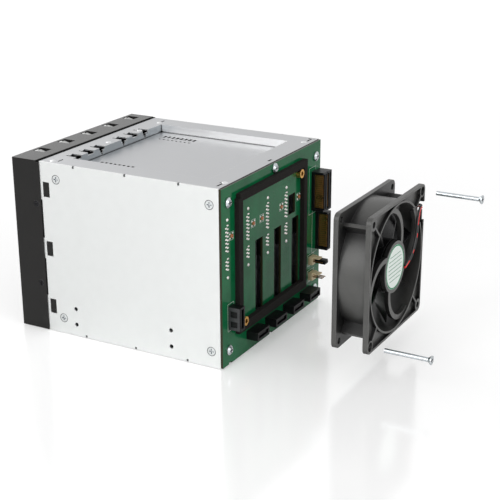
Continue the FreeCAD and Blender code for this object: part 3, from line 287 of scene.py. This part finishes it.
def foam():
    """Black closed cell foam with visible pores."""
    base = colour(27, 25, 23)
    shader = Shader("foam_cells", base, roughness=0.9, specular=0.2)
    shader.soften(0.3)
    cells = shader.add("ShaderNodeTexVoronoi", Vector=shader.place, Scale=1900.0)
    cells = cells.outputs["Distance"]
    cloud = shader.noise(500)
    tone = shader.mix(shader.spread(cells, 0.0, 1.0, 0.1, 0.6), shade(base, 0.55),
                      shade(base, 1.35))
    tone = shader.mix(shader.spread(cloud, 0.0, 0.5), tone, shade(base, 0.8))
    shader.paint(tone)
    shader.bump(cells, 0.12, 0.8)
    return shader.material


def clear_lens():
    """Frosted clear plastic of a light guide."""
    shader = Shader("light_guide", colour(214, 226, 230), roughness=0.18)
    shader.surface["Transmission Weight"].default_value = 0.6
    shader.surface["IOR"].default_value = 1.49
    fine = shader.noise(900, detail=2.0)
    shader.rough(shader.spread(fine, 0.12, 0.26))
    shader.bump(fine, 0.02, 0.4)
    return shader.material


def label_paper():
    """Pale coated paper."""
    base = colour(232, 240, 235)
    shader = Shader("label_paper", base, roughness=0.42)
    fibre = shader.noise(1400, detail=4.0)
    shader.paint(shader.mix(shader.spread(fibre, 0.0, 1.0), shade(base, 0.93), base))
    shader.bump(fibre, 0.012, 0.4)
    return shader.material


WHITE = colour(255, 255, 255)
# Near white for painted highlights on the edges of zinc; the panel's edges take pure white.
HIGHLIGHT_WHITE = colour(246, 247, 247)
LOOKS = {
    "galvanised_panel": metal("panel_zinc", colour(241, 243, 242), 0.42, spangle=0.012,
                              wear_and_highlight=WHITE, rim=0.8),
    # The pan's faces along X are painted white and along Y darker: painted light and shade.
    "galvanised_pan": metal("pan_zinc", colour(203, 204, 206), 0.38, spangle=0.012,
                            wear_and_highlight=HIGHLIGHT_WHITE, painted_side_light=(WHITE, colour(172, 178, 182)),
                            painted_hollow_shade=(colour(34, 36, 38), 1.6, 0.48, 0.86)),
    "inner_steel": metal("inner_zinc", colour(200, 201, 203), 0.4),
    "tray_steel": metal("tray_zinc", colour(205, 206, 208), 0.36),
    "bezel_plastic": plastic("bezel_grain", colour(21, 20, 19), 0.34, relief=0.025,
                             edge_highlight=colour(52, 50, 48), specular=0.26, sheen=0.44),
    "guide_plastic": plastic("guide_smooth", colour(16, 16, 17), 0.8, specular=0.1),
    "door_plastic": plastic("door_grain", colour(32, 31, 31), 0.4, coat=0.4,
                            edge_highlight=colour(62, 60, 58)),
    "button_plastic": plastic("button_grey", colour(206, 207, 206), 0.4, relief=0.02,
                              edge_highlight=colour(236, 236, 236)),
    "lens_clear": clear_lens(),
    "pin_steel": metal("bright_pin", colour(206, 207, 209), 0.25),
    "board_green": board_mask(),
    "connector_black": plastic("connector_moulding", colour(11, 11, 13), 0.38, grain=2200,
                               relief=0.015, soft=0.2, edge_highlight=colour(34, 34, 37),
                               specular=0.26),
    "header_cream": plastic("header_nylon", colour(216, 198, 160), 0.5, grain=1200,
                            relief=0.015, soft=0.2, edge_highlight=colour(238, 228, 204)),
    "contact_gold": metal("contact_gold", colour(150, 112, 66), 0.36, spangle=0.1),
    "foam_black": foam(),
    "standoff_brass": metal("turned_brass", colour(228, 172, 92), 0.28, spangle=0.06),
    "screw_zinc": metal("screw_zinc", colour(208, 214, 218), 0.27, spangle=0.06,
                        wear_and_highlight=HIGHLIGHT_WHITE, painted_hollow_shade=(colour(40, 40, 48), 1.3, 0.3, 0.72)),
    "screw_black": metal("black_oxide", colour(46, 46, 48), 0.4, wear_and_highlight=colour(104, 104, 106)),
    "fan_plastic": plastic("fan_moulding", colour(70, 70, 68), 0.36, grain=1100, relief=0.04,
                           edge_highlight=colour(86, 86, 84), soft=0.5, specular=0.7, spread=0.14,
                           painted_hollow_shade=colour(14, 14, 14)),
    "blade_plastic": plastic("blade_moulding", colour(22, 22, 23), 0.3, relief=0.01,
                             edge_highlight=colour(56, 56, 56), specular=0.34, painted_hollow_shade=colour(6, 6, 7)),
    "label_paper": label_paper(),
    "motor_steel": metal("motor_steel", colour(120, 118, 116), 0.45),
    "bearing_bronze": metal("bearing_bronze", colour(168, 118, 66), 0.4),
    "lead_red": plastic("lead_red", colour(222, 34, 34), 0.38, relief=0.005, soft=0.1,
                        coat=0.2),
    "lead_black": plastic("lead_black", colour(26, 26, 26), 0.38, relief=0.005, soft=0.1,
                          coat=0.2),
}
PANEL_SCREW = metal("panel_screw_zinc", colour(232, 235, 235), 0.4, wear_and_highlight=HIGHLIGHT_WHITE,
                    painted_hollow_shade=(colour(96, 110, 122), 1.3, 0.3, 0.72))
DIMPLE_HIGHLIGHT = metal("dimple_zinc_highlight", colour(236, 237, 238), 0.3, spangle=0.02)
SOLDER = metal("solder_tin", colour(252, 247, 244), 0.42, spangle=0.04, soft=0.1)
FINGER = metal("finger_gold", colour(176, 128, 76), 0.3)
AMBER = plastic("lamp_amber", colour(172, 104, 60), 0.3, relief=0.004, soft=0.1, coat=0.4)
WHITE_INK = plastic("print_white", colour(206, 214, 206), 0.6, relief=0.004, soft=0.02)
RIM_INK = plastic("label_green", colour(18, 138, 90), 0.5, relief=0.004, soft=0.02)
RULE_INK = plastic("label_rules", colour(64, 140, 104), 0.6, relief=0.004, soft=0.02)
SEAM_AND_SHADE = plastic("dark_seam_and_shade", colour(84, 86, 86), 0.6, relief=0.004, soft=0.05)
RIB = plastic("rib_moulding", colour(50, 51, 53), 0.35, soft=0.1)
SLEEVE = plastic("sleeve_black", colour(14, 14, 14), 0.5, relief=0.01, soft=0.1)
GAP_SHADOW = plastic("gap_shadow_black", colour(6, 6, 7), 0.95, grain=2600, relief=0.06, soft=0.1,
               specular=0.1)

for entry in frame["record"]["subparts"]:
    slots = frame["nodes"][entry["node"]].data.materials
    slots.clear()
    slots.append(LOOKS[entry["material_slot"]])
frame["nodes"]["panel_screws"].data.materials[0] = PANEL_SCREW


class Form:
    """Small shapes gathered in one mesh, in millimetres of the part's frame."""

    SHARP = math.radians(40)
    DOME_RINGS, DOME_STEP, DOME_SIDES = 5, 20, 14
    RING_SIDES = 72
    PRINT_THICK = 0.05

    def __init__(self):
        self.mesh = bmesh.new()

    def row(self, spots):
        """A closed row of points."""
        return [self.mesh.verts.new(spot) for spot in spots]

    def skin(self, rows):
        """Faces between each closed row and the next."""
        for first, second in zip(rows, rows[1:]):
            for here in range(len(first)):
                after = (here + 1) % len(first)
                self.mesh.faces.new((first[here], first[after], second[after], second[here]))

    def cap(self, rows):
        """Faces over the first and the last row."""
        self.mesh.faces.new(list(reversed(rows[0])))
        self.mesh.faces.new(rows[-1])

    def block(self, low, high):
        """Box between two corners."""
        low, high = Vector(low), Vector(high)
        matrix = Matrix.Translation((low + high) / 2) @ Matrix.Diagonal((*(high - low), 1.0))
        bmesh.ops.create_cube(self.mesh, size=1.0, matrix=matrix)

    def lathe(self, centre, axis, outline, sides=20, stretch=(1.0, 1.0)):
        """Turned shape: outline pairs are radius and height along axis, from foot to top."""
        axis = Vector(axis)
        across = Vector(UP).cross(axis) if abs(axis.z) < 0.5 else axis.orthogonal()
        across.normalize()
        up = axis.cross(across)
        rows = []
        for radius, along in outline:
            spots = []
            for angle in (2 * math.pi * side / sides for side in range(sides)):
                spot = (across * (math.cos(angle) * radius * stretch[0])
                        + up * (math.sin(angle) * radius * stretch[1]))
                spots.append(Vector(centre) + spot + axis * along)
            rows.append(self.row(spots))
        self.skin(rows)
        self.cap(rows)

    def dome(self, centre, axis, radius, height, stretch=(1.0, 1.0)):
        """Rounded bead that stands on a face."""
        angles = [math.radians(self.DOME_STEP * row) for row in range(self.DOME_RINGS)]
        outline = [(radius * math.cos(angle), height * math.sin(angle)) for angle in angles]
        self.lathe(centre, axis, outline, self.DOME_SIDES, stretch)

    def ring(self, centre, outer, inner, thick, side=0):
        """Flat ring that faces plus Y, or along X where side is 1 or -1."""
        angles = [2 * math.pi * part / self.RING_SIDES for part in range(self.RING_SIDES)]
        rows = []
        for radius, along in ((inner, 0), (inner, thick), (outer, thick), (outer, 0)):
            spots = []
            for angle in angles:
                flat, up = radius * math.cos(angle), radius * math.sin(angle)
                spot = Vector((side * along, flat, up)) if side else Vector((flat, along, up))
                spots.append(Vector(centre) + spot)
            rows.append(self.row(spots))
        self.skin([*rows, rows[0]])

    def outline(self, low, high, line):
        """Rectangle printed on the board between two corners, with a line of a given width."""
        (left, foot), (right, head) = low, high
        for x0, z0, x1, z1 in ((left, foot, right, foot + line),
                               (left, head - line, right, head),
                               (left, foot + line, left + line, head - line),
                               (right - line, foot + line, right, head - line)):
            self.block((x0, BOARD_FACE, z0), (x1, BOARD_FACE + self.PRINT_THICK, z1))

    def done(self, name, body, look, bevel=0.0, smooth=True):
        """Makes the object, sets its finish and lets it ride on a body."""
        bmesh.ops.scale(self.mesh, vec=(MM, MM, MM), verts=self.mesh.verts)
        bmesh.ops.recalc_face_normals(self.mesh, faces=self.mesh.faces)
        data = bpy.data.meshes.new(name)
        self.mesh.to_mesh(data)
        self.mesh.free()
        item = bpy.data.objects.new(name, data)
        bpy.context.scene.collection.objects.link(item)
        data.materials.append(look)
        if bevel:
            rounding = item.modifiers.new("rounding", "BEVEL")
            rounding.width = bevel * MM
            rounding.segments = 2
            rounding.limit_method = "ANGLE"
        if smooth:
            data.set_sharp_from_angle(angle=self.SHARP)
            for face in data.polygons:
                face.use_smooth = True
        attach(item, body)


# Solder of the drive sockets (two staggered rows of pins with a larger peg at each end), of the
# lamps' feet and of the fan headers' pins. A bead is given by its radius and height.
PIN_COLUMN, PIN_STEP, PIN_SIDE, PIN_LIFT = 10.2, 1.27, 0.95, 0.32
PIN_GROUPS = ((98.4, 15), (75.6, 7))
PIN_BEAD, PIN_STRETCH = (0.8, 0.7), (1.45, 0.82)
PEG_SIDE, PEG_LEVELS, PEG_BEAD = -0.6, (102.5, 62.8), (1.15, 0.8)
LAMPS = ((59.8, 90.2), (30.2, 90.2), (18.2, 90.3), (-10.6, 90.4), (-37.4, 90.6))
FOOT_SIDE, FOOT_LEVEL = 1.75, 1.55
FOOT_BEAD, FOOT_STRETCH = (0.8, 0.4), (1.0, 0.8)
FAN_HEADER_X, FAN_HEADER_LEVELS = -58.4, (23.5, 35.8)
FAN_PIN_STEP, FAN_PIN_LEVEL, FAN_PIN_BEAD = 2.54, -4.1, (0.5, 0.3)
joints = Form()
for middle in BAY_X:
    column = middle + PIN_COLUMN
    for top, pins in PIN_GROUPS:
        for step in range(pins):
            side, lift = (PIN_SIDE, 0.0) if step % 2 else (-PIN_SIDE, PIN_LIFT)
            spot = (column + side, BOARD_FACE, top - PIN_STEP * step + lift)
            joints.dome(spot, BACK, *PIN_BEAD, PIN_STRETCH)
    for level in PEG_LEVELS:
        joints.dome((column + PEG_SIDE, BOARD_FACE, level), BACK, *PEG_BEAD)
for across, level in LAMPS:
    for dx in (-FOOT_SIDE, FOOT_SIDE):
        for dz in (-FOOT_LEVEL, FOOT_LEVEL):
            spot = (across + dx, BOARD_FACE, level + dz)
            joints.dome(spot, BACK, *FOOT_BEAD, FOOT_STRETCH)
for level in FAN_HEADER_LEVELS:
    for step in (-1, 0, 1):
        spot = (FAN_HEADER_X + FAN_PIN_STEP * step, BOARD_FACE, level + FAN_PIN_LEVEL)
        joints.dome(spot, BACK, *FAN_PIN_BEAD)
joints.done("solder_joints", "cage", SOLDER)

# Lamps of the board, as radius and height from foot to top
LAMP_OUTLINE = [(1.25, 0), (1.25, 0.7), (1.0, 1.0), (0.4, 1.1)]
lamps = Form()
for across, level in LAMPS:
    lamps.lathe((across, BOARD_FACE, level), BACK, LAMP_OUTLINE)
lamps.done("board_lamps", "cage", AMBER)

# Printed lines around the connectors and the lamps
PRINT_LINE, LAMP_LINE = 0.24, 0.2
PRINT_BOXES = (((57.4, 24.2), (65.6, 43.8)), ((-65.2, 71.4), (-54.4, 106.8)),
               ((-68.6, 40.2), (-60.0, 73.6)))
FAN_HEADER_SPAN, FAN_HEADER_HALF = (-63.6, -53.2), 4.4
LAMP_HALF_WIDE, LAMP_HALF_HIGH = 3.0, 2.8
ink = Form()
for low, high in PRINT_BOXES:
    ink.outline(low, high, PRINT_LINE)
for level in FAN_HEADER_LEVELS:
    ink.outline((FAN_HEADER_SPAN[0], level - FAN_HEADER_HALF),
                (FAN_HEADER_SPAN[1], level + FAN_HEADER_HALF), PRINT_LINE)
for across, level in LAMPS:
    ink.outline((across - LAMP_HALF_WIDE, level - LAMP_HALF_HIGH),
                (across + LAMP_HALF_WIDE, level + LAMP_HALF_HIGH), LAMP_LINE)
ink.done("board_print", "cage", WHITE_INK, smooth=False)

# Black matt strip in the rebate at the rear edge of the bezel's top, painted shadow of the gap
GAP_SHADOW_LOW, GAP_SHADOW_HIGH = (-73.4, -2.7, 124.25), (73.4, -0.1, 125.25)
shadow_strip = Form()
shadow_strip.block(GAP_SHADOW_LOW, GAP_SHADOW_HIGH)
shadow_strip.done("bezel_gap_shadow", "cage", GAP_SHADOW, bevel=0.3)

# Gold fingers on the inner wall of each power header, and the jumper on a fan header
POWER_HEADERS = ((-61.4, 89.0), (-68.9, 88.5), (-68.9, 57.0))
FINGER_WALL, FINGER_SUNK, FINGER_RISE = 1.85, 0.02, 0.1
FINGER_STEP, FINGER_HALF, FINGER_FOOT, FINGER_HEAD = 1.6, 0.42, 3.2, 8.7
FINGER_PLACES = range(-7, 8)
JUMPER_FOOT, JUMPER_SHOULDER, JUMPER_HEAD = 4.2, 12.6, 13.2
fingers = Form()
for across, middle in POWER_HEADERS:
    wall = across + FINGER_WALL
    for step in FINGER_PLACES:
        level = middle + step * FINGER_STEP
        fingers.block((wall - FINGER_SUNK, BOARD_FACE + FINGER_FOOT, level - FINGER_HALF),
                      (wall + FINGER_RISE, BOARD_FACE + FINGER_HEAD, level + FINGER_HALF))
fingers.done("power_fingers", "cage", FINGER, smooth=False)
jumper = Form()
jumper.block((-62.2, BOARD_FACE + JUMPER_FOOT, 34.1),
             (-57.0, BOARD_FACE + JUMPER_SHOULDER, 37.4))
jumper.block((-61.4, BOARD_FACE + JUMPER_SHOULDER, 34.9),
             (-57.8, BOARD_FACE + JUMPER_HEAD, 36.6))
jumper.done("header_jumper", "cage", LOOKS["connector_black"], bevel=0.4)

# Thin dark rings round the side panels' screws, and painted shade in the panels' edge notches
SCREW_SPOTS = [(along, level) for along in (13.6, 135.4) for level in (11.4, 113.6)]
RING_X, RING_OUTER, RING_INNER, RING_THICK = 72.99, 3.3, 2.98, 0.05
NOTCH_FIRST, NOTCH_STEP, NOTCHES = 27.9, 41.9, 3
NOTCH_ROWS = ((0.0, 123.3, 124.9), (4.0, 0.1, 1.7))
NOTCH_SHADE_X, NOTCH_SHADE_Y = (72.02, 72.9), (0.05, 1.55)
rings = Form()
notch_shade = Form()
for side in (-1, 1):
    for along, level in SCREW_SPOTS:
        rings.ring((side * RING_X, along, level), RING_OUTER, RING_INNER, RING_THICK, side)
    near_x, far_x = sorted(side * across for across in NOTCH_SHADE_X)
    for step in range(NOTCHES):
        for shift, low, high in NOTCH_ROWS:
            along = NOTCH_FIRST + NOTCH_STEP * step + shift
            notch_shade.block((near_x, along + NOTCH_SHADE_Y[0], low), (far_x, along + NOTCH_SHADE_Y[1], high))
rings.done("screw_rings", "cage", SEAM_AND_SHADE, smooth=False)
notch_shade.done("notch_painted_shade", "cage", SEAM_AND_SHADE, bevel=0.1)

# Ribbed side of the upright data header: a raised frame with two windows
RIB_X = (64.45, 65.0)
RIB_BARS = (((144.4, 26.0), (145.6, 42.0)), ((150.8, 26.0), (152.6, 42.0)),
            ((145.6, 26.0), (150.8, 28.0)), ((145.6, 32.2), (150.8, 35.0)),
            ((145.6, 39.4), (150.8, 42.0)))
ribs = Form()
for low, high in RIB_BARS:
    ribs.block((RIB_X[0], *low), (RIB_X[1], *high))
ribs.done("header_ribs", "cage", RIB, bevel=0.12)

# Plain fan label: a green rim and short rules
RIM_OUTER, RIM_INNER, RIM_THICK, SUNK = 15.1, 14.1, 0.05, 0.01
RULE_REACH, RULE_SHARE, RULE_HALF, RULE_RISE = 13.4, 0.84, 0.2, 0.03
RULE_LEVELS = (8.4, 5.6, 2.8, 0.0, -2.8, -5.6, -8.4)
label = Form()
label.ring((FAN_X, STRUT_REAR - SUNK, FAN_Z), RIM_OUTER, RIM_INNER, RIM_THICK)
label.done("label_rim", "fan", RIM_INK, smooth=False)
rules = Form()
for level in RULE_LEVELS:
    half = RULE_SHARE * math.sqrt(RULE_REACH ** 2 - level ** 2)
    rules.block((FAN_X - half, STRUT_REAR - SUNK, FAN_Z + level - RULE_HALF),
                (FAN_X + half, STRUT_REAR + RULE_RISE, FAN_Z + level + RULE_HALF))
rules.done("label_rules", "fan", RULE_INK, smooth=False)

# Black sleeves that hold the two leads together along their strut, a half circle from the hub
STRUT_WAY, STRUT_REACH = math.radians(231), 22.2
LEAD_RISE = 0.7
SLEEVE_SPANS = ((-116, -100), (-92, -70), (-62, -48))
SLEEVE_STEPS, SLEEVE_SIDES = 8, 16
SLEEVE_WIDE, SLEEVE_DEEP, SLEEVE_TAPER = 1.62, 0.92, 0.93


def around(angle):
    """Direction at an angle about the fan's axis."""
    return Vector((math.cos(angle), 0, -math.sin(angle)))


bend = Vector((FAN_X, STRUT_REAR + LEAD_RISE, FAN_Z)) + around(STRUT_WAY) * STRUT_REACH
sleeves = Form()
for first, last in SLEEVE_SPANS:
    rows = []
    for step in range(SLEEVE_STEPS + 1):
        turn = first + (last - first) * step / SLEEVE_STEPS
        outward = around(STRUT_WAY + math.radians(turn))
        swell = 1.0 if 0 < step < SLEEVE_STEPS else SLEEVE_TAPER
        spots = []
        for angle in (2 * math.pi * part / SLEEVE_SIDES for part in range(SLEEVE_SIDES)):
            wide = outward * (SLEEVE_WIDE * swell * math.cos(angle))
            deep = Vector((0, SLEEVE_DEEP * swell * math.sin(angle), 0))
            spots.append(bend + outward * STRUT_REACH + wide + deep)
        rows.append(sleeves.row(spots))
    sleeves.skin(rows)
    sleeves.cap(rows)
sleeves.done("lead_sleeves", "fan", SLEEVE)

# Pressed marks of the top pan, in a lighter zinc than the pan as a painted highlight
PAN_TOP = 124.95
MARK_SPOTS = ((67.6, 8.0), (-59.7, 12.4), (8.0, 12.4), (-32.0, 12.4), (58.4, 138.8),
              (-58.4, 137.4))
MARK_BEAD, MARK_STRETCH = (2.1, 0.43), (1.35, 1.0)
marks = Form()
for across, along in MARK_SPOTS:
    marks.dome((across, along, PAN_TOP), UP, *MARK_BEAD, MARK_STRETCH)
marks.done("pan_dimples", "cage", DIMPLE_HIGHLIGHT)

# Camera, fitted to the photograph's corners
AZIMUTH, ELEVATION, ROLL = (math.radians(angle) for angle in (118.94, 19.62, -0.26))
FOCAL_PIXELS, PIXELS, SENSOR = 1198.8, 500, 36.0
AIM = (0, 90, 60)
ACROSS, ALONG, DISTANCE = -30.43, 7.01, 862.5
back = Vector((math.sin(AZIMUTH) * math.cos(ELEVATION),
               -math.cos(AZIMUTH) * math.cos(ELEVATION), math.sin(ELEVATION)))
flat = Vector((math.cos(AZIMUTH), math.sin(AZIMUTH), 0))
upward = back.cross(flat)
right = flat * math.cos(ROLL) + upward * math.sin(ROLL)
upward = upward * math.cos(ROLL) - flat * math.sin(ROLL)
place = Vector(AIM) - right * ACROSS - upward * ALONG + back * DISTANCE
lens = bpy.data.cameras.new("camera")
lens.sensor_width = SENSOR
lens.lens = FOCAL_PIXELS * SENSOR / PIXELS
lens.clip_start = 0.01
lens.clip_end = 50
camera = bpy.data.objects.new("camera", lens)
turned = Matrix((right, upward, back)).transposed().to_4x4()
camera.matrix_world = Matrix.Translation(place * MM) @ turned
bpy.context.scene.collection.objects.link(camera)
bpy.context.scene.camera = camera


def lamp(name, place, aim, power):
    """Soft area lamp, a metre square, that looks at a point; metres."""
    data = bpy.data.lights.new(name, "AREA")
    data.shape = "SQUARE"
    data.size = 1.0
    data.energy = power
    item = bpy.data.objects.new(name, data)
    item.location = place
    item.rotation_mode = "QUATERNION"
    item.rotation_quaternion = (Vector(aim) - Vector(place)).to_track_quat("-Z", "Y")
    bpy.context.scene.collection.objects.link(item)


lamp("key", (1.3, 0.1, 0.75), (0, 0.12, 0.06), 9.0)
lamp("fill", (0.4, 1.6, 0.7), (0, 0.14, 0.06), 7.0)
lamp("front", (-0.6, -1.3, 0.8), (0, 0.05, 0.06), 5.0)


def studio():
    """White surroundings for the camera, a plain level of light for the object."""
    seen_level, lit_level, zenith_level, zenith_start = 1.0, 0.5, 0.8, 0.35
    world = bpy.data.worlds.new("studio")
    bpy.context.scene.world = world
    world.use_nodes = True
    tree = Tree(world.node_tree)
    path = tree.add("ShaderNodeLightPath").outputs
    direction = tree.add("ShaderNodeTexCoord").outputs["Generated"]
    height = tree.add("ShaderNodeSeparateXYZ", direction).outputs["Z"]
    mirrored = tree.spread(height, seen_level, zenith_level, 0.0, zenith_start)
    shiny = tree.calc("MAXIMUM", path["Is Glossy Ray"], path["Is Transmission Ray"])
    level = tree.mix(shiny, lit_level, mirrored, "FLOAT")
    level = tree.mix(path["Is Camera Ray"], level, seen_level, "FLOAT")
    sky = tree.nodes["Background"].inputs
    sky["Color"].default_value = (1, 1, 1, 1)
    tree.feed(sky["Strength"], level)


def floor_look():
    """White floor that keeps a soft shadow and a faint reflection."""
    near, near_glow, far, far_glow = 0.35, 0.41, 1.8, 0.7
    mirrored_glow, shine_share, shine_roughness = 0.08, 0.24, 0.14
    material = bpy.data.materials.new("floor_white")
    material.use_nodes = True
    tree = Tree(material.node_tree)
    tree.nodes.remove(tree.nodes["Principled BSDF"])
    path = tree.add("ShaderNodeLightPath").outputs
    spot = tree.add("ShaderNodeTexCoord").outputs["Object"]
    away = tree.add("ShaderNodeVectorMath", spot, operation="LENGTH").outputs["Value"]
    glow = tree.spread(away, near_glow, far_glow, near, far)
    glow = tree.calc("MULTIPLY", path["Is Camera Ray"], glow)
    glow = tree.calc("MULTIPLY_ADD", path["Is Glossy Ray"], mirrored_glow, glow)
    matt = tree.add("ShaderNodeBsdfDiffuse", Color=(0.92, 0.92, 0.92, 1)).outputs[0]
    light = tree.add("ShaderNodeEmission", Strength=glow).outputs[0]
    plain = tree.add("ShaderNodeAddShader", matt, light).outputs[0]
    shine = tree.add("ShaderNodeBsdfGlossy", Roughness=shine_roughness).outputs[0]
    whole = tree.add("ShaderNodeMixShader", shine_share, plain, shine).outputs[0]
    tree.feed(tree.nodes["Material Output"].inputs["Surface"], whole)
    return material


studio()
REACH, DROP = 6.0, 0.5
CORNERS = [(-REACH, -REACH, 0), (REACH, -REACH, 0), (REACH, REACH, 0), (-REACH, REACH, 0)]
ground = bpy.data.meshes.new("floor")
ground.from_pydata(CORNERS, [], [(0, 1, 2, 3)])
ground.materials.append(floor_look())
floor = bpy.data.objects.new("floor", ground)
floor.location.z = -DROP * MM
bpy.context.scene.collection.objects.link(floor)
floor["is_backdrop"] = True

bpy.context.scene.view_settings.view_transform = "Standard"
low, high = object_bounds()
